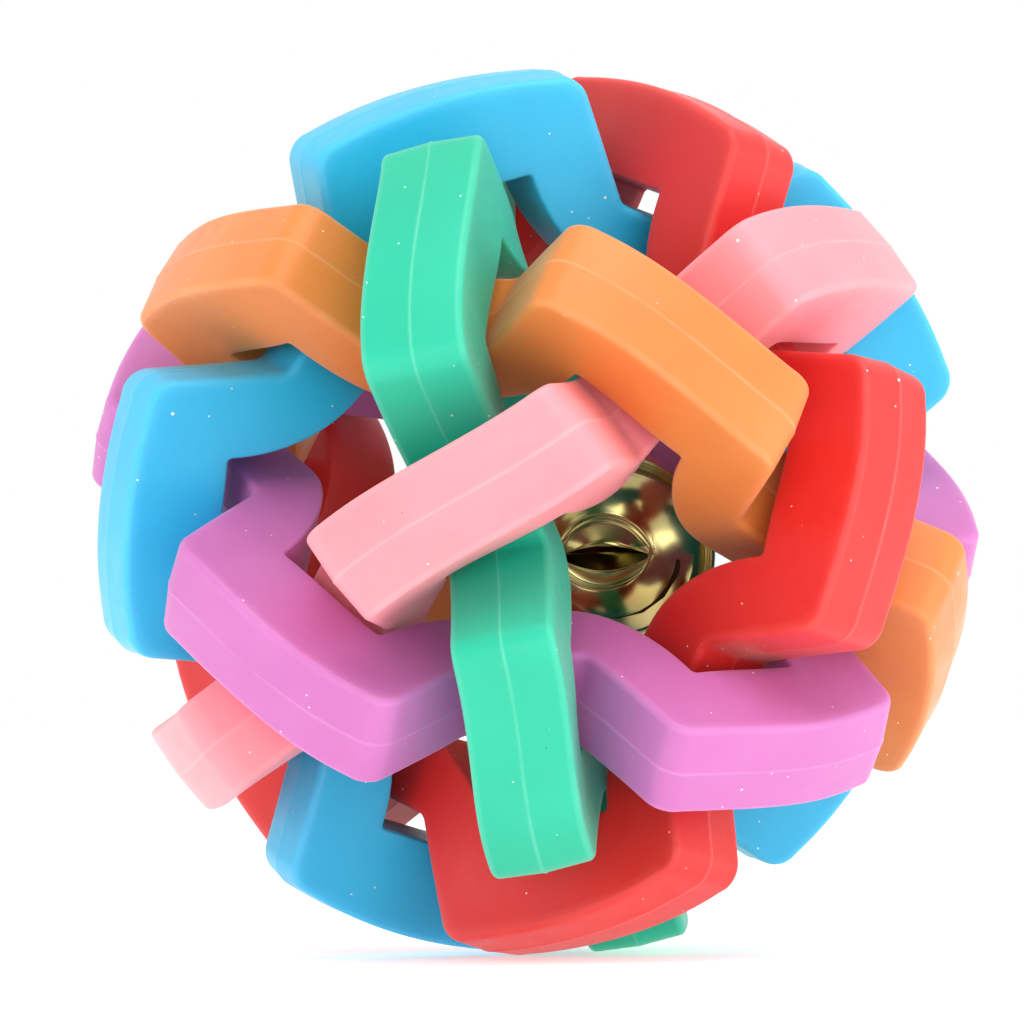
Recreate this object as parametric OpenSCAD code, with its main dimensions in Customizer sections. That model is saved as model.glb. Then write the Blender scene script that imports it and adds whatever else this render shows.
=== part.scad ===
// Woven rattle ball: six closed rubber rings, each lying in its own great-circle plane and
// passing over and under the other five in turn, with a loose two-part jingle bell inside.
// Frame: origin at the centre of the ball, +Z up. The ball stands on a triangle of three lobes.

/* [Ball] */
// Distance from the ball's centre to the crown of each lobe
ball_r = 45; // [45:0.5:48]

/* [Ring] */
// Thickness of a ring across its two flat faces
ring_w = 10.2; // [8:0.1:10.4]
// Radius of the curve along the crown of a lobe
crown_r = 50; // [46:1:60]
// Half angle that a lobe spans, seen from the ball's centre
lobe_half_angle = 18.5; // [17.5:0.1:18.8]
// Radius of the rounded shoulder at each end of a lobe
shoulder_r = 4; // [2:0.5:5]
// Distance from the ball's centre to the outer face of the strand between two lobes
strand_r = 32.5; // [31.5:0.1:33]
// Half width of the flat on the outer face of that strand
strand_flat = 4.6; // [3.5:0.1:5]
// Distance from the ball's centre to the flat underside of a lobe
notch_r = 34.8; // [34.6:0.1:36]
// Half width of the notch under a lobe, where another ring passes through
notch_half_w = 6.4; // [6:0.1:7]
// Distance from the ball's centre to the inner bulge between two lobes
bulge_r = 24.5; // [23:0.1:26]
// How far a ring waves to either side of its own plane
wave_h = 1.5; // [1.3:0.1:1.7]
// Bevel along the two outer edges of a ring
edge_bevel = 1.2; // [0.8:0.1:1.5]

/* [Bell] */
// Outer radius of the bell's two half shells
bell_r = 9.2; // [8:0.1:9.5]
// Wall thickness of the half shells
bell_wall = 0.6; // [0.5:0.1:1]
// How far the crimped flange stands out from the shells
seam_lip = 0.95; // [0.5:0.05:1]
// Half thickness of the crimped flange along the bell's axis
seam_half_w = 0.6; // [0.5:0.1:0.8]
// Centre of the bell, off the middle of the ball towards +X, +Y and down
bell_x = 6.5; // [6:0.1:6.8]
bell_y = 11.7; // [8:0.1:11.7]
bell_drop = 4.1; // [4:0.1:4.4]
// Turn of the bell's slot away from the front, towards +X
bell_turn = -1.5; // [-10:0.5:10]
// How far the bell's slot looks up
bell_pitch = -2.5; // [-10:0.5:10]
// Length of the open slot, and its height above and below the line through its two ends
slot_l = 9.8; // [8:0.2:10]
slot_up = 1; // [0.6:0.1:1.2]
slot_down = 1.4; // [0.6:0.1:1.8]
// Length and heights of the pressed lips around it
lips_l = 10.4; // [9:0.2:11]
lips_up = 4.3; // [3:0.1:4.5]
lips_down = 3.4; // [3:0.1:4.5]
// How deep the lips are turned in
lips_depth = 1.6; // [1:0.1:2]
// Radius of the loose pellet
pellet_r = 2.2; // [1.5:0.1:2.5]
// Bend radius and wire radius of the hanger loop, and how far its bend stands off the shell
loop_r = 2; // [1.6:0.1:2.2]
wire_r = 0.6; // [0.4:0.05:0.7]
loop_neck = 1; // [0.8:0.1:1.2]

/* [Hidden] */
$fn = 64;
LOBES = 5;
HALF_PITCH = 180 / LOBES;
// The six ring planes are those between the opposite corners of an icosahedron. Seen from the
// axis through one of its faces, three of the ring axes lean by steep_lean and three by flat_lean.
steep_lean = acos(sqrt((5 + 2 * sqrt(5)) / 15));
flat_lean = acos(sqrt((5 - 2 * sqrt(5)) / 15));
// Turn of a ring about its own axis that puts a lobe over each strand it meets
WEAVE_TURN = HALF_PITCH / 2;
CROWN_STEPS = 5;
SHOULDER_STEPS = 4;
STRAND_STEPS = 2;
inner_r = bell_r - bell_wall;
pellet_gap = 0.1;

function unit(v) = v / norm(v);
function turned(p, a) = [p.x * cos(a) - p.y * sin(a), p.x * sin(a) + p.y * cos(a)];
function arc(centre, r, from, to, steps) =
    [for (k = [0:steps]) centre + r * [cos(from + (to - from) * k / steps), sin(from + (to - from) * k / steps)]];
// Points of the arc of radius r that rounds the corner at v between directions to p and to q
function rounded(p, v, q, r, steps) =
    let(a = unit(p - v), b = unit(q - v), half = acos(a * b) / 2,
        centre = v + unit(a + b) * r / sin(half),
        s = v + a * r / tan(half) - centre, e = v + b * r / tan(half) - centre,
        from = atan2(s.y, s.x), sweep = (atan2(e.y, e.x) - from + 540) % 360 - 180)
    arc(centre, r, from, from + sweep, steps);

// Outer outline of a ring from the middle of a lobe (0 degrees) to the middle of a strand
crown_centre = [ball_r - crown_r, 0];
crown_end_r = crown_centre.x * cos(lobe_half_angle)
    + sqrt(crown_r ^ 2 - (crown_centre.x * sin(lobe_half_angle)) ^ 2);
crown_end = crown_end_r * [cos(lobe_half_angle), sin(lobe_half_angle)];
crown_back = crown_end + 10 * unit([crown_end.y, crown_centre.x - crown_end.x]);
strand_edge = turned([strand_r, -strand_flat], HALF_PITCH);
strand_mid = turned([strand_r, 0], HALF_PITCH);
shoulder = rounded(crown_back, crown_end, strand_edge, shoulder_r, SHOULDER_STEPS);
crown_stop = atan2(shoulder[0].y, shoulder[0].x - crown_centre.x);
crown = arc(crown_centre, crown_r, 0, crown_stop, CROWN_STEPS);
foot_of_flank = rounded(crown_end, strand_edge, strand_mid, edge_bevel, STRAND_STEPS);
outer_half = concat([for (k = [0:CROWN_STEPS - 1]) crown[k]], shoulder, foot_of_flank, [strand_mid]);

// Inner outline over the same stretch: the flat underside of the lobe, its corner, and then the
// bulge, which is one arc from notch corner to notch corner centred on the middle of the strand
notch_corner = turned([notch_r, notch_half_w], -HALF_PITCH);
bulge_centre = (notch_corner * notch_corner - bulge_r ^ 2) / (2 * (notch_corner.x - bulge_r));
bulge_from = atan2(notch_corner.y, notch_corner.x - bulge_centre);
bulge_steps = len(outer_half) - 2;
bulge = arc([bulge_centre, 0], bulge_centre - bulge_r, bulge_from, -180, bulge_steps);
inner_half = concat([[notch_r, 0]], [for (p = bulge) turned(p, HALF_PITCH)]);

// A half outline, mirrored and repeated round the ring
function all_round(half) =
    let(last = len(half) - 1,
        lobe = concat([for (k = [last - 1:-1:1]) [half[k].x, -half[k].y]], half))
    [for (n = [0:LOBES - 1], p = lobe) turned(p, 2 * HALF_PITCH * n)];
outer_line = all_round(outer_half);
inner_line = all_round(inner_half);
stations = len(outer_line);
function outward(line, k) =
    let(t = unit(line[(k + 1) % stations] - line[(k + stations - 1) % stations])) [t.y, -t.x];
bevel_line = [for (k = [0:stations - 1]) outer_line[k] - edge_bevel * outward(outer_line, k)];
// The ring leaves its own plane by wave_h to either side, so that it meets each strand squarely
function waved(p, z) = [p.x, p.y, z - wave_h * sin(LOBES * atan2(p.y, p.x))];
half_w = ring_w / 2;
SECTION = 6;
ring_points = [for (k = [0:stations - 1]) each [
    waved(inner_line[k], -half_w), waved(bevel_line[k], -half_w),
    waved(outer_line[k], edge_bevel - half_w), waved(outer_line[k], half_w - edge_bevel),
    waved(bevel_line[k], half_w), waved(inner_line[k], half_w)]];
ring_faces = [for (k = [0:stations - 1], j = [0:SECTION - 1])
    let(a = k * SECTION, b = ((k + 1) % stations) * SECTION, i = (j + 1) % SECTION)
    each [[a + j, b + i, a + i], [a + j, b + j, b + i]]];

// One rubber ring, its axis leaning from the vertical by lean, towards the heading given
module woven_ring(lean, heading)
    rotate([0, lean, heading]) rotate([0, 0, WEAVE_TURN])
        polyhedron(points = ring_points, faces = ring_faces, convexity = 10);

// Puts the bell, whose slot looks along its own +Z, in its place in the ball
module in_bell_place()
    translate([bell_x, bell_y, -bell_drop]) rotate([90 - bell_pitch, 0, bell_turn]) children();

// A half shell over z > 0, closed by its share of the crimped seam
module half_shell(seam_from, seam_to)
    rotate_extrude() {
        difference() {
            intersection() {
                difference() {
                    circle(r = bell_r);
                    circle(r = inner_r);
                }
                square([bell_r + 1, bell_r + 1]);
            }
            square([bell_r + 1, seam_from]);
        }
        translate([inner_r, seam_from]) square([bell_wall + seam_lip, seam_to - seam_from]);
    }

// An eye shape of length l: the overlap of two discs that rise up and fall down from its corners
module eye(l, up, down) {
    r_up = (l * l / 4 + up * up) / (2 * up);
    r_down = (l * l / 4 + down * down) / (2 * down);
    intersection() {
        translate([0, up - r_up]) circle(r = r_up);
        translate([0, r_down - down]) circle(r = r_down);
    }
}

module blue_ring() color("deepskyblue") woven_ring(flat_lean, 120);
module pink_ring() color("lightpink") woven_ring(steep_lean, 180);
module green_ring() color("mediumaquamarine") woven_ring(flat_lean, 0);
module purple_ring() color("orchid") woven_ring(steep_lean, -60);
module red_ring() color("tomato") woven_ring(flat_lean, -120);
module orange_ring() color("sandybrown") woven_ring(steep_lean, 60);

module bell_slotted_shell() color("darkkhaki") in_bell_place() {
    difference() {
        half_shell(0.05, seam_half_w);
        linear_extrude(bell_r + 1) eye(lips_l, lips_up, lips_down);
    }
    intersection() {
        sphere(r = bell_r - bell_wall / 2);
        translate([0, 0, inner_r - lips_depth]) linear_extrude(bell_r) difference() {
            eye(lips_l + bell_wall, lips_up + bell_wall, lips_down + bell_wall);
            eye(slot_l, slot_up, slot_down);
        }
    }
}

module bell_hanger_shell() color("darkkhaki") in_bell_place() difference() {
    mirror([0, 0, 1]) half_shell(0.05, seam_half_w);
    for (side = [-1, 1]) translate([side * loop_r, 0, -bell_r - 1]) cylinder(r = wire_r + 0.05, h = 3);
}

module bell_hanger_loop() color("khaki") in_bell_place() translate([0, 0, -bell_r - loop_neck]) {
    rotate([-90, 0, 0]) rotate_extrude(angle = 180) translate([loop_r, 0]) circle(r = wire_r);
    for (side = [-1, 1]) translate([side * loop_r, 0, 0])
        cylinder(r = wire_r, h = loop_neck + bell_wall + 0.6);
}

module bell_pellet() color("silver")
    translate([bell_x, bell_y, -bell_drop - inner_r + pellet_r + pellet_gap]) sphere(r = pellet_r);

blue_ring();
pink_ring();
green_ring();
purple_ring();
red_ring();
orange_ring();
bell_slotted_shell();
bell_hanger_shell();
bell_hanger_loop();
bell_pellet();
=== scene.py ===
import math

import bmesh
import bpy
import numpy as np
from mathutils import Matrix, Vector


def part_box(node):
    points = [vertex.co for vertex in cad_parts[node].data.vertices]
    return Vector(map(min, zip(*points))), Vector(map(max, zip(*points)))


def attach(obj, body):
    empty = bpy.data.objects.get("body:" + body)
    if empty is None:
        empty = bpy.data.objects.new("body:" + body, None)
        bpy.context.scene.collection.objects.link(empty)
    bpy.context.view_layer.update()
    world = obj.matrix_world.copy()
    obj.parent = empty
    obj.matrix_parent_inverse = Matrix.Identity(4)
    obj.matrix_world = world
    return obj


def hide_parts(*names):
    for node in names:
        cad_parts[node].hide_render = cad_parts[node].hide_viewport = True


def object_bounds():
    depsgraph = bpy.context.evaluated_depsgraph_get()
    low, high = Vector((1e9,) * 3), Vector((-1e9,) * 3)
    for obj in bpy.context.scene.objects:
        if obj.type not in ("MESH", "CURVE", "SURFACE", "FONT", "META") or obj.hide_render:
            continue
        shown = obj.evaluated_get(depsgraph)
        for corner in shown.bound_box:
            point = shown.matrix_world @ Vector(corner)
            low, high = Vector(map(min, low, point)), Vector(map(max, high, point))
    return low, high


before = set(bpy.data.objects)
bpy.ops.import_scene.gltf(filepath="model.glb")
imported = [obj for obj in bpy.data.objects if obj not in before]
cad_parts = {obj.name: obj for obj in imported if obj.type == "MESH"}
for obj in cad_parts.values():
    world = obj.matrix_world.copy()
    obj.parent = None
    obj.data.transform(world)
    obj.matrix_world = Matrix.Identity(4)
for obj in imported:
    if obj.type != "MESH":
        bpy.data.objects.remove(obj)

cad_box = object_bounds()

# ---------------------------------------------------------------------------------------------
# The pellet: a hardened steel shot, 4.4 mm across, that rolls loose inside the bell and strikes
# its wall. It is tumbled bright at the works and gets dull flats where it has struck.
# ---------------------------------------------------------------------------------------------
MM = 0.001
PELLET_R = 2.2
PELLET_FLATS = 7
rng = np.random.default_rng(11)


def directions(rings, around):
    """Unit vectors over a sphere, on a grid: one row for each angle down from the pole, 0 to 180
    degrees, and one column for each angle round it."""
    down = np.linspace(0, np.pi, rings)[:, None]
    turn = np.linspace(0, 2 * np.pi, around, endpoint=False)[None, :]
    return np.stack([np.sin(down) * np.cos(turn), np.sin(down) * np.sin(turn),
                     np.cos(down) + 0 * turn], -1)


def grid_faces(rows, columns, rows_close):
    """The four-sided faces between neighbouring points of a grid whose columns close on each other,
    and whose rows do too if rows_close."""
    at = np.arange(rows * columns).reshape(rows, columns)
    down = np.roll(at, -1, 0) if rows_close else at[1:]
    at = at if rows_close else at[:-1]
    return np.stack([at, down, np.roll(down, -1, 1), np.roll(at, -1, 1)], -1).reshape(-1, 4)


def piece(name, grid, rows_close, material, body, slot=None, node=None, **attributes):
    """Makes a grid of points in millimetres, shaped rows by columns by 3, into one closed smooth
    mesh at the origin, merges its poles, turns its faces outwards and fixes it to a body."""
    rows, columns = grid.shape[:2]
    mesh = bpy.data.meshes.new(name)
    mesh.from_pydata((grid.reshape(-1, 3) * MM).tolist(), [],
                     grid_faces(rows, columns, rows_close).tolist())
    for key, values in attributes.items():
        mesh.attributes.new(key, "FLOAT", "POINT").data.foreach_set(
            "value", np.broadcast_to(values, (rows, columns)).reshape(-1).astype(np.float32))
    work = bmesh.new()
    work.from_mesh(mesh)
    if not rows_close:
        bmesh.ops.remove_doubles(work, verts=work.verts, dist=1e-4 * MM)
    bmesh.ops.recalc_face_normals(work, faces=work.faces)
    work.to_mesh(mesh)
    work.free()
    mesh.polygons.foreach_set("use_smooth", np.ones(len(mesh.polygons), bool))
    mesh.materials.append(material)
    made = bpy.data.objects.new(name, mesh)
    bpy.context.scene.collection.objects.link(made)
    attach(made, body)
    if node:
        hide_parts(node)
    return made


def linear(hex_colour):
    """An sRGB hex colour as linear red, green, blue and alpha: each channel c is c / 12.92 up to
    0.04045, and ((c + 0.055) / 1.055) ^ 2.4 above it."""
    c = np.array([int(hex_colour[k:k + 2], 16) for k in (1, 3, 5)]) / 255
    return (*np.where(c <= 0.04045, c / 12.92, ((c + 0.055) / 1.055) ** 2.4).tolist(), 1.0)


def add(tree, kind, settings, inputs):
    """Adds one node of a kind, gives it its settings, and sets each input, by name or number, to
    a value or links it to another node's output."""
    made = tree.nodes.new("ShaderNode" + kind)
    for key, value in settings.items():
        setattr(made, key, value)
    for key, value in inputs.items():
        if isinstance(value, bpy.types.NodeSocket):
            tree.links.new(value, made.inputs[key])
        else:
            made.inputs[key].default_value = value
    return made


def new_material(name):
    """An empty node material, its tree, its Object coordinates and the socket of its surface."""
    material = bpy.data.materials.new(name)
    material.use_nodes = True
    tree = material.node_tree
    tree.nodes.clear()
    place = add(tree, "TexCoord", {}, {}).outputs["Object"]
    out = add(tree, "OutputMaterial", {}, {})
    return material, tree, place, out.inputs["Surface"]


def steel_shot():
    """Hardened steel, tumbled: grey and mirror-like, with scratches that blur its highlights."""
    material, tree, place, surface = new_material("tumbled_steel_shot")
    grain = add(tree, "TexNoise", {}, {"Vector": place, "Scale": 1 / (0.5 * MM), "Detail": 4.0})
    rough = add(tree, "MapRange", {}, {0: grain.outputs[0], 1: 0.3, 2: 0.7, 3: 0.18, 4: 0.38})
    bump = add(tree, "Bump", {}, {"Height": grain.outputs[0], "Strength": 0.3,
                                  "Distance": 0.02 * MM})
    metal = add(tree, "BsdfPrincipled", {}, {
        "Base Color": linear("#b9bbbd"), "Metallic": 1.0, "Roughness": rough.outputs[0],
        "Normal": bump.outputs[0]})
    tree.links.new(metal.outputs[0], surface)
    return material


def struck_shot():
    """A ball of PELLET_R with a few flats: a point is drawn in to a flat's plane where the plane
    lies below the surface, 0.03 mm deep."""
    ball = directions(33, 64)
    flats = rng.normal(size=(PELLET_FLATS, 3))
    flats /= np.linalg.norm(flats, axis=1, keepdims=True)
    reach = np.maximum(ball @ flats.T, 1e-3)
    return ball * np.minimum(PELLET_R, ((PELLET_R - 0.03) / reach).min(-1))[..., None]


low, high = (np.array(c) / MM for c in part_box("bell_pellet"))
pellet_at = (low + high) / 2
piece("pellet", struck_shot() + pellet_at, False, steel_shot(), "pellet", "pellet_steel",
      "bell_pellet")

# ---------------------------------------------------------------------------------------------
# The bell's slotted half: thin sheet brass drawn into a half sphere. A press splits its crown and
# turns the lips in, like eyelids, the upper one wider. The outside is plated, and the rim is
# crimped into a flat ridged flange.
# ---------------------------------------------------------------------------------------------
BELL_R = 9.2
BELL_WALL = 0.6
BELL_CENTRE = np.array([6.5, 11.7, -4.1])
BELL_TURN, BELL_PITCH = -1.5, -2.5
SLOT_L, SLOT_UP, SLOT_DOWN = 9.8, 1.0, 1.4
LIPS_L, LIPS_UP, LIPS_DOWN = 10.4, 4.3, 3.4
LIPS_DEPTH = 1.6
FLANGE_OUT = 0.93
FLANGE_TOP = 0.55
SHOULDER_TOP = 3.2
SKIN_IN = 0.06
RIM_LIFT = 0.08
TEETH = 150
AROUND = 600


def turning(axis, degrees):
    """The matrix of a turn about the x, y or z axis, for points written as columns."""
    c, s = math.cos(math.radians(degrees)), math.sin(math.radians(degrees))
    first, second = {"x": (1, 2), "y": (2, 0), "z": (0, 1)}[axis]
    m = np.eye(3)
    m[first, first] = m[second, second] = c
    m[first, second], m[second, first] = -s, s
    return m


bell_frame = turning("z", BELL_TURN) @ turning("x", 90 - BELL_PITCH)


def in_bell_place(points):
    """Points of the bell's own frame, whose slot looks along +z, put in their place in the ball."""
    return points @ bell_frame.T + BELL_CENTRE


def eye_radius(length, up, down, turn):
    """The distance from the middle of an eye shape to its edge in the direction turn. The upper
    lid's edge is part of a circle that rises up from the corners, and the lower lid's one that
    falls down, so it is -c |sin turn| + sqrt(r^2 - (c cos turn)^2), where r is the circle's
    radius, (length^2 / 4 + height^2) / (2 height), and c is r less the height."""
    height = np.where(np.sin(turn) > 0, up, down)
    r = (length**2 / 4 + height**2) / (2 * height)
    c = r - height
    return np.sqrt(r**2 - (c * np.cos(turn)) ** 2) - c * np.abs(np.sin(turn))


def flanged_rows(turn, side):
    """The rows of the outer skin from the shoulder of the half shell to its rim: radius and height
    for each row and direction. Fine crimp marks are pressed into the shoulder all round. The
    flange stands out from its foot in three concentric beads, |sin| waves, to a rounded edge."""
    rise = np.array([2.9, 2.6, 2.35, 2.15, 2.0, 1.85, 1.7, 1.5, 1.3, 1.1, 0.95, 0.8])[:, None]
    teeth = np.maximum(np.sin(TEETH * turn), 0) * np.exp(-((rise - 1.75) / 0.45) ** 4)
    radius = np.sqrt(BELL_R**2 - rise**2) - 0.02 - 0.06 * teeth
    way = np.linspace(0, 1, 25)[:, None]
    beads = np.abs(np.sin(3 * np.pi * way)) ** 0.6 * (1 - 0.25 * way)
    out = BELL_R + 0.02 + (FLANGE_OUT - 0.12) * way + 0 * turn
    face = FLANGE_TOP - 0.16 + 0.16 * beads
    a = np.linspace(0, np.pi / 2, 5)[1:, None]
    edge_out = BELL_R + FLANGE_OUT - 0.1 + 0.12 * np.sin(a) + 0 * turn
    edge_rise = RIM_LIFT + (FLANGE_TOP - 0.24) * np.cos(a)
    return (np.concatenate([radius, out, edge_out]),
            side * (np.concatenate([rise, face, edge_rise]) + 0 * turn))


def brass_plating():
    """Brass plate, buffed: pale, a little green, mirror-like with a soft blur. Handling leaves
    cloudy patches, and fine wipe marks stretch its highlights. The bare inside is dull and brown
    with tarnish."""
    material, tree, place, surface = new_material("buffed_brass_plating")
    cloud = add(tree, "TexNoise", {}, {"Vector": place, "Scale": 1 / (6 * MM), "Detail": 5.0})
    tone = add(tree, "ValToRGB", {}, {"Fac": cloud.outputs[0]})
    tone.color_ramp.elements[0].position, tone.color_ramp.elements[1].position = 0.3, 0.7
    tone.color_ramp.elements[0].color = linear("#a89858")
    tone.color_ramp.elements[1].color = linear("#c8bd84")
    wipe = add(tree, "TexNoise", {}, {"Vector": place, "Scale": 1 / (0.8 * MM), "Detail": 3.0})
    rough = add(tree, "MapRange", {}, {0: cloud.outputs[0], 1: 0.3, 2: 0.7, 3: 0.16, 4: 0.28})
    bare = add(tree, "Attribute", {"attribute_name": "bare"}, {}).outputs["Fac"]
    colour = add(tree, "Mix", {"data_type": "RGBA"}, {
        0: bare, 6: tone.outputs[0], 7: linear("#3d2a20")})
    blur = add(tree, "Mix", {}, {0: bare, 2: rough.outputs[0], 3: 0.6})
    bump = add(tree, "Bump", {}, {"Height": wipe.outputs[0], "Strength": 0.12,
                                  "Distance": 0.02 * MM})
    metal = add(tree, "BsdfPrincipled", {}, {
        "Base Color": colour.outputs[2], "Metallic": 1.0, "Roughness": blur.outputs[0],
        "Normal": bump.outputs[0]})
    tree.links.new(metal.outputs[0], surface)
    return material


def slotted_half():
    """The section of the shell carried round its axis: up the inner skin from the slot's edge to
    the rim, round the flange, and back along the outer skin, over the lips, to the slot's edge.
    Rows near the slot follow the eye shape, and rows near the flange a circle. Also says which
    points lie on the bare inside.

    Known fault: eyelike runs from -pi to pi but even from 0 to 2 pi, so the columns below the
    slot go once too often round the axis between the dish's rim and the shoulder. The sheet
    crosses itself there and cuts the pellet. np.unwrap round the arctan2 puts it right."""
    even = np.linspace(0, 2 * np.pi, AROUND, endpoint=False)[None, :]
    eyelike = np.arctan2(0.55 * np.sin(even), np.cos(even))
    # lips: share 0 at the slot's edge, 1 at the rim of the pressed dish
    share = np.linspace(0, 1, 30)[:, None] ** 0.9
    edge = eye_radius(SLOT_L, SLOT_UP, SLOT_DOWN, eyelike)
    rim = eye_radius(LIPS_L, LIPS_UP, LIPS_DOWN, eyelike)
    radius = edge + (rim - edge) * share
    wide = np.clip((rim - edge) / 2.0, 0, 1)
    sink = (0.35 + (LIPS_DEPTH - 0.5) * wide) * np.cos(np.pi / 2 * share**0.8) ** 0.7
    roll = 0.22 * wide * np.exp(-((share - 0.06) / 0.06) ** 2)
    ridge = 0.10 * np.exp(-((share - 0.97) / 0.04) ** 2)
    inner_ridge = 0.12 * np.exp(-((share - 0.82) / 0.05) ** 2) * wide
    skin = np.sqrt(BELL_R**2 - radius**2) - 0.08
    lips = (radius, skin - sink + roll + ridge + inner_ridge, eyelike + 0 * radius)
    # from the dish's rim to the shoulder: equal steps of the angle down from the pole
    down = np.linspace(0, 1, 34)[1:, None]
    rim_down = np.arcsin(rim / BELL_R)
    polar = rim_down + (np.arccos(SHOULDER_TOP / BELL_R) - rim_down) * down
    swell = 0.06 * np.exp(-((BELL_R * (polar - rim_down)) / 0.3) ** 2)
    around = eyelike + (even - eyelike) * down
    crown = ((BELL_R - SKIN_IN) * np.sin(polar), (BELL_R - SKIN_IN) * np.cos(polar) + swell, around)
    flange_radius, flange_height = flanged_rows(even, 1)
    outer = [np.concatenate(parts) for parts in zip(
        lips, crown, (flange_radius, flange_height, np.repeat(even, len(flange_radius), 0)))]
    # inner skin, from the rim back to the slot
    inner_polar = rim_down + (np.arccos(RIM_LIFT / BELL_R) - rim_down) * down[::-2]
    inner_around = eyelike + (even - eyelike) * down[::-2]
    inner_r = BELL_R - BELL_WALL
    inner = [inner_r * np.sin(inner_polar), inner_r * np.cos(inner_polar), inner_around]
    under = slice(None, None, -3)
    beneath = [(lips[0] + 0.2 * (1 - share))[under], (lips[1] - 0.45)[under], lips[2][under]]
    radius, height, turn = (np.concatenate(parts) for parts in zip(outer, inner, beneath))
    bare = np.arange(len(radius))[:, None] >= len(outer[0])
    return np.stack([radius * np.cos(turn), radius * np.sin(turn), height], -1), bare


plating = brass_plating()
slotted, slotted_bare = slotted_half()
piece("bell_slotted_half", in_bell_place(slotted), True, plating, "bell", "bell_plating",
      "bell_slotted_shell", bare=slotted_bare)

# ---------------------------------------------------------------------------------------------
# The bell's plain half: the same sheet brass, drawn but not split. Its rim is crimped against the
# slotted half's, and its crown is pressed flat around the hanger's two legs.
# ---------------------------------------------------------------------------------------------
CROWN_FLAT = 3.0


def plain_half():
    """From the pole along the outer skin to the rim, and back to the pole along the inner skin,
    and which of its points are on the inside. The crown is flattened within CROWN_FLAT of the
    pole, 0.12 mm deep."""
    even = np.linspace(0, 2 * np.pi, AROUND, endpoint=False)[None, :]
    polar = np.linspace(0, np.arccos(SHOULDER_TOP / BELL_R), 40)[:, None] + 0 * even
    radius = (BELL_R - SKIN_IN) * np.sin(polar)
    flat = 0.12 / (1 + np.exp((radius - CROWN_FLAT) / 0.3))
    height = -(BELL_R - SKIN_IN) * np.cos(polar) + flat
    flange_radius, flange_height = flanged_rows(even, -1)
    inner = np.linspace(np.arccos(RIM_LIFT / BELL_R), 0, 20)[:, None] + 0 * even
    inner_r = BELL_R - BELL_WALL
    radius = np.concatenate([radius, flange_radius, inner_r * np.sin(inner)])
    height = np.concatenate([height, flange_height, -inner_r * np.cos(inner)])
    bare = np.arange(len(radius))[:, None] >= len(radius) - len(inner)
    return np.stack([radius * np.cos(even), radius * np.sin(even), height], -1), bare


plain, plain_bare = plain_half()
piece("bell_plain_half", in_bell_place(plain), False, plating, "bell", "bell_plating",
      "bell_hanger_shell", bare=plain_bare)

# ---------------------------------------------------------------------------------------------
# The hanger: a short length of brass wire bent into a U and pushed through the plain half's
# crown. Its legs are splayed inside to hold it. The crown has no holes cut for them here, so the
# legs pass through its sheet. Nothing hangs from the loop.
# ---------------------------------------------------------------------------------------------
WIRE_R = 0.58
BEND_R = 2.0
LEG = 2.15
NECK = 1.0


def tube(path, radius, reference, sides=16):
    """A circle carried along a path, with its ends drawn to a point. Each circle lies across the
    path's direction t: its axes are the part of the reference vector square to t, and t x that."""
    along = np.gradient(path, axis=0)
    along /= np.linalg.norm(along, axis=1, keepdims=True)
    first = reference - (along @ reference)[:, None] * along
    first /= np.linalg.norm(first, axis=1, keepdims=True)
    second = np.cross(along, first)
    turn = np.linspace(0, 2 * np.pi, sides, endpoint=False)[None, :, None]
    size = np.broadcast_to(radius, len(path)).copy()
    size[[0, -1]] = 0
    return path[:, None] + size[:, None, None] * (
        np.cos(turn) * first[:, None] + np.sin(turn) * second[:, None])


def drawn_brass():
    """Drawn brass wire: yellower than the plating, with fine drag lines along it."""
    material, tree, place, surface = new_material("drawn_brass_wire")
    drag = add(tree, "TexNoise", {}, {"Vector": place, "Scale": 1 / (0.3 * MM), "Detail": 4.0})
    rough = add(tree, "MapRange", {}, {0: drag.outputs[0], 1: 0.3, 2: 0.7, 3: 0.22, 4: 0.4})
    bump = add(tree, "Bump", {}, {"Height": drag.outputs[0], "Strength": 0.3,
                                  "Distance": 0.02 * MM})
    metal = add(tree, "BsdfPrincipled", {}, {
        "Base Color": linear("#c8ab5e"), "Metallic": 1.0, "Roughness": rough.outputs[0],
        "Normal": bump.outputs[0]})
    tree.links.new(metal.outputs[0], surface)
    return material


def hanger():
    """A U: a straight leg, a half circle of BEND_R, and the other leg, each leg splayed at its
    end. Each end narrows to a point in two short steps."""
    bend = np.linspace(0, np.pi, 25)[:, None]
    loop = np.concatenate([BEND_R * np.cos(bend), 0 * bend, -BEND_R * np.sin(bend)], 1)
    fall = np.linspace(LEG, 0, 9)[:-1, None]
    splay = 0.04 * fall**2 / LEG
    leg = np.concatenate([BEND_R - splay, 0 * fall, fall], 1)
    path = np.concatenate([leg, loop, leg[::-1] * [-1, 1, 1]])
    tip = np.concatenate([path[:1] + [[0, 0, 0.02]], path, path[-1:] + [[0, 0, 0.02]]])
    size = np.full(len(tip), WIRE_R)
    size[[1, -2]] *= 0.8
    return tube(tip, size, np.array([0.0, 1.0, 0.0])) - [0, 0, BELL_R + NECK]


piece("bell_hanger", in_bell_place(hanger()), False, drawn_brass(), "bell", "bell_wire",
      "bell_hanger_loop")

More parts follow.
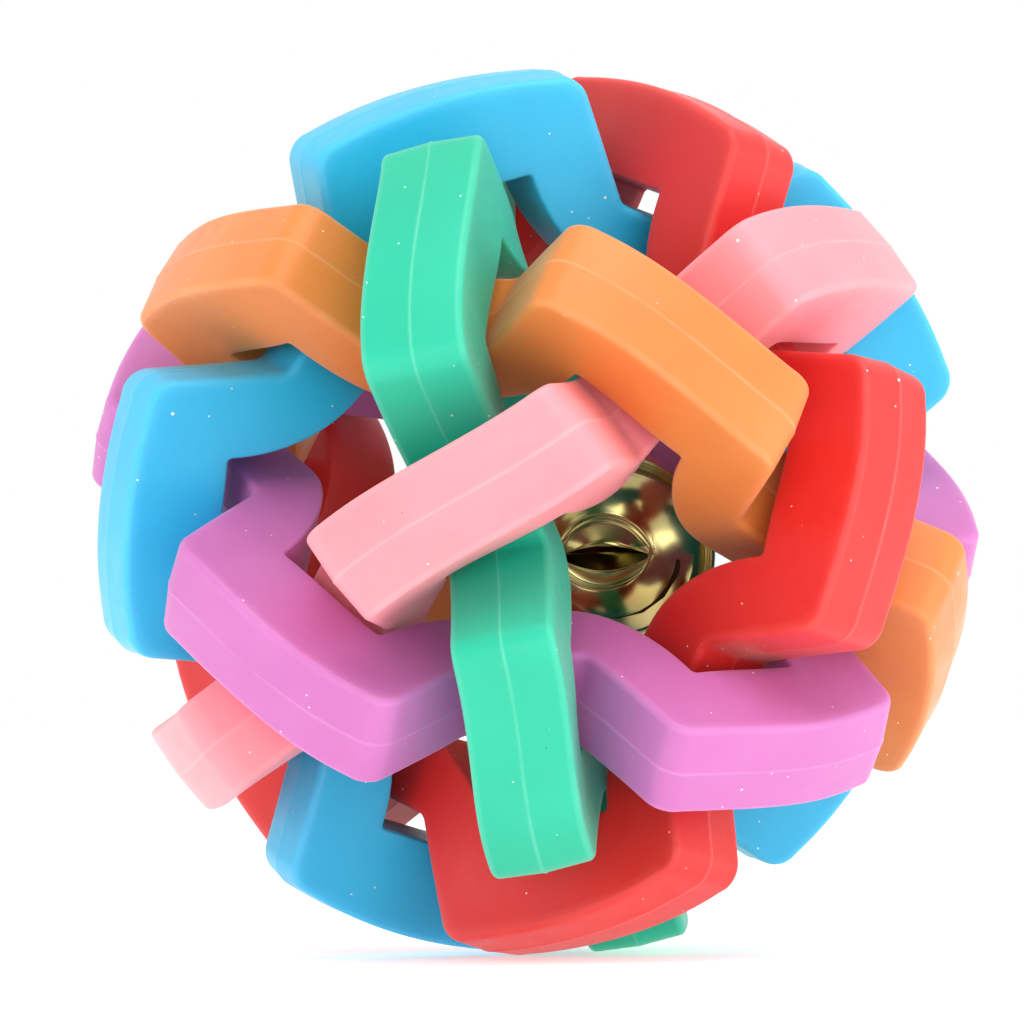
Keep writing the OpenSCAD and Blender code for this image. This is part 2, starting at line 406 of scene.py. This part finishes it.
# ---------------------------------------------------------------------------------------------
# The six rings: thermoplastic rubber, each moulded in its own colour as one closed ring with five
# lobes, then stretched over the others so that each lobe bridges another ring's strand. A fine
# parting line runs round the middle of the outer face, which slopes away from it on both sides.
# ---------------------------------------------------------------------------------------------
LOBES = 5
RING_W = 10.2
BALL_R = 45.0
CROWN_R = 50.0
LOBE_HALF = 18.4
SHOULDER_R = 3.2
STRAND_R, STRAND_FLAT, FOOT_R = 32.5, 4.6, 1.6
NOTCH_R, NOTCH_HALF, NOTCH_FILLET = 34.8, 6.4, 0.5
BULGE_R = 24.5
WAVE = 1.5
EDGE_R, INNER_EDGE_R = 0.75, 0.3
DRAFT = 0.28
SINK = 0.12
BEAD_H, BEAD_W = 0.05, 0.11
STEEP_LEAN = math.degrees(math.acos(math.sqrt((5 + 2 * math.sqrt(5)) / 15)))
FLAT_LEAN = math.degrees(math.acos(math.sqrt((5 - 2 * math.sqrt(5)) / 15)))


def unit(v):
    return v / np.linalg.norm(v)


def turned(points, degrees):
    """Points of a plane, turned about its origin."""
    return points @ turning("z", degrees)[:2, :2].T


def arc(centre, radius, start, stop, steps):
    """Evenly spaced points of a circle, from one angle to another, in radians."""
    a = np.linspace(start, stop, steps + 1)[:, None]
    return centre + radius * np.concatenate([np.cos(a), np.sin(a)], 1)


def rounded(p, corner, q, radius, steps):
    """The arc that rounds a corner between the directions to p and to q: its centre lies on their
    middle line, radius / sin(half the angle) from the corner."""
    a, b = unit(p - corner), unit(q - corner)
    half = math.acos(a @ b) / 2
    centre = corner + unit(a + b) * radius / math.sin(half)
    s, e = (corner + d * radius / math.tan(half) - centre for d in (a, b))
    start = math.atan2(s[1], s[0])
    sweep = (math.atan2(e[1], e[0]) - start + math.pi) % (2 * math.pi) - math.pi
    return arc(centre, radius, start, start + sweep, steps)


def between(p, q, steps):
    """The points that cut a straight line into equal steps, without its two ends."""
    share = np.linspace(0, 1, steps + 1)[1:-1, None]
    return p + (q - p) * share


def outer_half():
    """From the middle of a lobe to the middle of the next strand: the crown's arc, the rounded
    shoulder, the straight flank, the rounded foot and the strand's flat."""
    centre = np.array([BALL_R - CROWN_R, 0.0])
    end = math.radians(LOBE_HALF)
    reach = centre[0] * math.cos(end) + math.sqrt(CROWN_R**2 - (centre[0] * math.sin(end)) ** 2)
    corner = reach * np.array([math.cos(end), math.sin(end)])
    back = corner + 10 * unit(np.array([corner[1], centre[0] - corner[0]]))
    foot = turned(np.array([STRAND_R, -STRAND_FLAT]), 180 / LOBES)
    middle = turned(np.array([STRAND_R, 0.0]), 180 / LOBES)
    shoulder = rounded(back, corner, foot, SHOULDER_R, 10)
    stop = math.atan2(shoulder[0, 1], shoulder[0, 0] - centre[0])
    foot_arc = rounded(corner, foot, middle, FOOT_R, 6)
    return np.concatenate([arc(centre, CROWN_R, 0, stop, 12)[:-1], shoulder,
                           between(shoulder[-1], foot_arc[0], 4), foot_arc,
                           between(foot_arc[-1], middle, 5), middle[None]])


def inner_half():
    """The same stretch inside: the flat underside of the lobe, its corner, and the bulge, one arc
    from notch to notch whose centre lies on the middle line of the strand."""
    corner = np.array([NOTCH_R, NOTCH_HALF])
    n = turned(corner, -180 / LOBES)
    centre = (n @ n - BULGE_R**2) / (2 * (n[0] - BULGE_R))
    start = math.atan2(n[1], n[0] - centre) % (2 * math.pi)
    bulge = turned(arc(np.array([centre, 0.0]), centre - BULGE_R, start, math.pi, 400), 180 / LOBES)
    fillet = rounded(np.array([NOTCH_R, 0.0]), corner, bulge[12], NOTCH_FILLET, 4)
    first = 1 + int(np.argmin(np.linalg.norm(bulge[:60] - fillet[-1], axis=1)))
    pick = np.linspace(first, 400, 24).round().astype(int)
    underside = np.linspace(0, 1, 10)[:-1, None] * (fillet[0] - [NOTCH_R, 0]) + [NOTCH_R, 0]
    return np.concatenate([underside, fillet, bulge[pick]])


def all_round(half):
    """A half outline, mirrored at the middle of its lobe and repeated round the ring."""
    lobe = np.concatenate([half[-2:0:-1] * [1, -1], half])
    return np.concatenate([turned(lobe, 360 / LOBES * n) for n in range(LOBES)])


def outward(line):
    """The direction square to a closed line at each of its points, away from the middle."""
    along = np.roll(line, -1, 0) - np.roll(line, 1, 0)
    along /= np.linalg.norm(along, axis=1, keepdims=True)
    return np.stack([along[:, 1], -along[:, 0]], 1)


def half_section():
    """Half of the ring's cross section, z > 0, from the middle of the outer face to the middle of
    the inner face. For each point: its share of the way from the outer to the inner line, its
    depth below that line, its height, and how much it belongs to the parting line and the edge."""
    flat = RING_W / 2 - EDGE_R
    z = np.array([0, 0.06, 0.12, 0.18, 0.3, 0.6, 1.2, 2.0, 2.8, 3.5])
    z = np.append(z, flat)
    face = [0 * z, BEAD_H + DRAFT * z / flat - BEAD_H * np.exp(-((z / BEAD_W) ** 2)), z,
            np.exp(-((z / 0.16) ** 2)), 0 * z]
    a = np.linspace(0, np.pi / 2, 7)[1:]
    # the last entry weights the pale edge tint, part wear and part painted highlight, most midway
    # round the rounding
    edge = [0 * a, BEAD_H + DRAFT + EDGE_R * (1 - np.cos(a)), flat + EDGE_R * np.sin(a), 0 * a,
            np.sin(2 * a) * 0.5 + 0.5]
    s = np.linspace(0, 1, 10)[1:-1]
    side = [s, (1 - s) * (BEAD_H + DRAFT + EDGE_R) + s * INNER_EDGE_R,
            RING_W / 2 - SINK * np.sin(np.pi * s), 0 * s, 0 * s]
    b = np.linspace(0, np.pi / 2, 4)
    inner_edge = [0 * b + 1, INNER_EDGE_R * (1 - np.sin(b)),
                  RING_W / 2 - INNER_EDGE_R * (1 - np.cos(b)), 0 * b, 0 * b + 0.4]
    i = np.array([3.4, 1.7, 0])
    inside = [0 * i + 1, 0 * i, i, 0 * i, 0 * i]
    return np.concatenate([face, edge, side, inner_edge, inside], 1)


half = half_section()
share, depth, rise, parting, edge = np.concatenate(
    [half, half[:, -2:0:-1] * np.array([[1], [1], [-1], [1], [1]])], 1)
outer_line, inner_line = all_round(outer_half()), all_round(inner_half())
outer_out, inner_out = outward(outer_line), -outward(inner_line)


def ring_grid(lean, heading, seed):
    """The cross section carried round the ring. It leaves the ring's own plane by WAVE to either
    side, as -sin of five times the turn, and the rubber's uneven shrinkage moves its skin by a
    few hundredths of a millimetre. Then it is turned into its place in the ball."""
    s, d = share[None, :, None], depth[None, :, None]
    outer = outer_line[:, None] - outer_out[:, None] * d
    inner = inner_line[:, None] - inner_out[:, None] * d
    flat = outer * (1 - s) + inner * s
    turn = np.arctan2(flat[..., 1], flat[..., 0])
    height = rise[None] - WAVE * np.sin(LOBES * turn)
    points = np.concatenate([flat, height[..., None]], -1)
    own = np.random.default_rng(seed)
    waves, phases = own.normal(size=(6, 3)) / 7, own.uniform(0, 6.3, 6)
    uneven = np.sin(points @ waves.T + phases).sum(-1) * 0.015
    points[..., 2] += uneven * np.sign(rise)[None]
    return points @ ring_frame(lean, heading).T


def ring_frame(lean, heading):
    """Turns a ring so that its axis leans from the vertical towards the heading, with a lobe over
    each strand that it meets."""
    return turning("z", heading) @ turning("y", lean) @ turning("z", 90 / LOBES)


def rubber(name, colour, deep, pale):
    """Soft moulded rubber: satin, a little see-through at its edges, which warms its shadows. Its
    colour clouds where the pigment mixed unevenly, the parting line rubs pale, the rounded edges
    are painted pale, partly as wear and partly as a painted highlight, and static holds dust, pale
    and dark, on its skin."""
    material, tree, place, surface = new_material(name)
    cloud = add(tree, "TexNoise", {}, {"Vector": place, "Scale": 1 / (14 * MM), "Detail": 3.0})
    tone = add(tree, "ValToRGB", {}, {"Fac": cloud.outputs[0]})
    tone.color_ramp.elements[0].position, tone.color_ramp.elements[1].position = 0.32, 0.62
    tone.color_ramp.elements[0].color, tone.color_ramp.elements[1].color = (
        linear(deep), linear(colour))
    skin_colour = tone.outputs[0]
    # this noise breaks up the rubbed parting line and the painted highlight on the edges, and
    # varies the roughness
    wear_and_sheen = add(tree, "TexNoise", {}, {"Vector": place, "Scale": 1 / (3 * MM), "Detail": 6.0})
    # the parting line rubs pale; the edges are painted pale, part wear and part painted highlight
    # of light caught on their rounding
    for attribute, most in (("parting", 0.12), ("edge", 0.06)):
        where = add(tree, "Attribute", {"attribute_name": attribute}, {})
        amount = add(tree, "Math", {"operation": "MULTIPLY"},
                     {0: where.outputs["Fac"], 1: wear_and_sheen.outputs[0]})
        amount = add(tree, "Math", {"operation": "MULTIPLY"}, {0: amount.outputs[0], 1: most * 2})
        skin_colour = add(tree, "Mix", {"data_type": "RGBA"}, {
            0: amount.outputs[0], 6: skin_colour, 7: linear(pale)}).outputs[2]
    # dust: specks of a real size scattered one to a cell, most cells left clean
    for cell, size, kept, speck in ((2.1, 0.10, 0.45, "#fff6ea"), (5.0, 0.16, 0.5, "#fffaf2"),
                                    (4.2, 0.10, 0.6, "#5a3a2a")):
        cells = add(tree, "TexVoronoi", {}, {"Vector": place, "Scale": 1 / (cell * MM)})
        near = add(tree, "MapRange", {"interpolation_type": "SMOOTHSTEP"}, {
            0: cells.outputs["Distance"], 1: 0.7 * size / cell, 2: 1.3 * size / cell, 3: 1, 4: 0})
        drawn = add(tree, "SeparateColor", {}, {"Color": cells.outputs["Color"]})
        chosen = add(tree, "Math", {"operation": "GREATER_THAN"}, {0: drawn.outputs[0], 1: kept})
        speckled = add(tree, "Math", {"operation": "MULTIPLY"},
                       {0: near.outputs[0], 1: chosen.outputs[0]})
        speckled = add(tree, "Math", {"operation": "MULTIPLY"}, {0: speckled.outputs[0], 1: 0.75})
        skin_colour = add(tree, "Mix", {"data_type": "RGBA"}, {
            0: speckled.outputs[0], 6: skin_colour, 7: linear(speck)}).outputs[2]
    grain = add(tree, "TexNoise", {}, {"Vector": place, "Scale": 1 / (0.45 * MM), "Detail": 5.0})
    rough = add(tree, "MapRange", {}, {0: wear_and_sheen.outputs[0], 1: 0.3, 2: 0.7, 3: 0.38, 4: 0.52})
    bump = add(tree, "Bump", {}, {"Height": grain.outputs[0], "Strength": 0.22,
                                  "Distance": 0.04 * MM})
    skin = add(tree, "BsdfPrincipled", {}, {
        "Base Color": skin_colour, "Roughness": rough.outputs[0], "IOR": 1.5,
        "Specular IOR Level": 0.5, "Sheen Weight": 0.12, "Sheen Roughness": 0.4,
        "Subsurface Weight": 0.35, "Subsurface Scale": 2.2 * MM,
        "Subsurface Radius": linear(colour)[:3], "Normal": bump.outputs[0]})
    tree.links.new(skin.outputs[0], surface)
    return material


# each ring: lean, heading, colour, its deeper cloud, and the pale tint of its rubbed parting line
# and of its edges, where it is part wear and part painted highlight
rings = {
    "blue": (FLAT_LEAN, 120, "#24b4e0", "#20aedb", "#bfe9ff"),
    "pink": (STEEP_LEAN, 180, "#fb929a", "#f88a93", "#ffe3e6"),
    "green": (FLAT_LEAN, 0, "#12bb98", "#0eb490", "#b9f7e2"),
    "purple": (STEEP_LEAN, -60, "#c46eb2", "#bd66ab", "#f0c8f4"),
    "red": (FLAT_LEAN, -120, "#da2421", "#d3201d", "#ffb0a6"),
    "orange": (STEEP_LEAN, 60, "#db8139", "#d57831", "#ffe0bd"),
}
skins = {}
for number, (hue, (lean, heading, colour, deep, pale)) in enumerate(rings.items()):
    skins[hue] = rubber(f"moulded_{hue}_rubber", colour, deep, pale)
    # the edge attribute places the painted highlight on the rounded edges, together with their wear
    piece(f"{hue}_woven_ring", ring_grid(lean, heading, number), True, skins[hue],
          f"{hue}_ring", f"{hue}_rubber", f"{hue}_ring",
          parting=np.abs(parting), edge=np.abs(edge))

# ---------------------------------------------------------------------------------------------
# The floor: a seamless sheet of white card, wide enough to fill every view.
# ---------------------------------------------------------------------------------------------
FLOOR_HALF = 3.0
floor_mesh = bpy.data.meshes.new("floor")
floor_z = cad_box[0][2]
corners = np.array([[-1, -1], [1, -1], [1, 1], [-1, 1]]) * FLOOR_HALF
floor_mesh.from_pydata([(x, y, floor_z) for x, y in corners.tolist()], [], [(0, 1, 2, 3)])
floor = bpy.data.objects.new("floor", floor_mesh)
bpy.context.scene.collection.objects.link(floor)
card, tree, place, surface = new_material("white_card")
matt = add(tree, "BsdfPrincipled", {}, {
    "Base Color": linear("#f7f7f6"), "Roughness": 0.9,
    "Emission Color": (1, 1, 1, 1), "Emission Strength": 0.45})
tree.links.new(matt.outputs[0], surface)
floor_mesh.materials.append(card)

# ---------------------------------------------------------------------------------------------
# The light: a white tent all round, and four large soft boxes, above, to the right, to the left
# and in front.
# ---------------------------------------------------------------------------------------------
world = bpy.data.worlds.new("white_tent")
world.use_nodes = True
world.node_tree.nodes["Background"].inputs["Color"].default_value = (1, 1, 1, 1)
world.node_tree.nodes["Background"].inputs["Strength"].default_value = 1.0
bpy.context.scene.world = world


def soft_box(name, at, size, watts):
    """A square area light that looks at the middle of the ball."""
    light = bpy.data.lights.new(name, "AREA")
    light.shape, light.size, light.energy = "SQUARE", size, watts
    lamp = bpy.data.objects.new(name, light)
    lamp.location = at
    lamp.rotation_euler = (-Vector(at)).to_track_quat("-Z", "Y").to_euler()
    bpy.context.scene.collection.objects.link(lamp)


soft_box("soft_box_above", (0.25, -0.35, 0.85), 0.7, 4.0)
soft_box("soft_box_right", (0.9, -0.25, 0.1), 0.6, 2.6)
soft_box("soft_box_left", (-0.9, -0.25, 0.0), 0.6, 1.5)
soft_box("soft_box_front", (0.1, -1.0, -0.05), 0.6, 2.4)

# ---------------------------------------------------------------------------------------------
# The camera: a long lens on a low tripod, a little to the right of the ball's front.
# ---------------------------------------------------------------------------------------------
CAMERA_AWAY = 0.6353
CAMERA_AZIMUTH, CAMERA_ELEVATION, CAMERA_ROLL = 10.1, -1.5, -0.59
lens = bpy.data.cameras.new("camera")
lens.lens, lens.sensor_width = 220.0, 36.0
lens.shift_x, lens.shift_y = -0.0231, 0.0007
lens.clip_start = 0.01
camera = bpy.data.objects.new("camera", lens)
azimuth, elevation = math.radians(CAMERA_AZIMUTH), math.radians(CAMERA_ELEVATION)
towards = Vector((math.sin(azimuth) * math.cos(elevation),
                  -math.cos(azimuth) * math.cos(elevation), math.sin(elevation)))
camera.matrix_world = (Matrix.Translation(CAMERA_AWAY * towards)
                       @ towards.to_track_quat("Z", "Y").to_matrix().to_4x4()
                       @ Matrix.Rotation(math.radians(CAMERA_ROLL), 4, "Z"))
bpy.context.scene.collection.objects.link(camera)
bpy.context.scene.camera = camera
bpy.context.scene.view_settings.view_transform = "Standard"
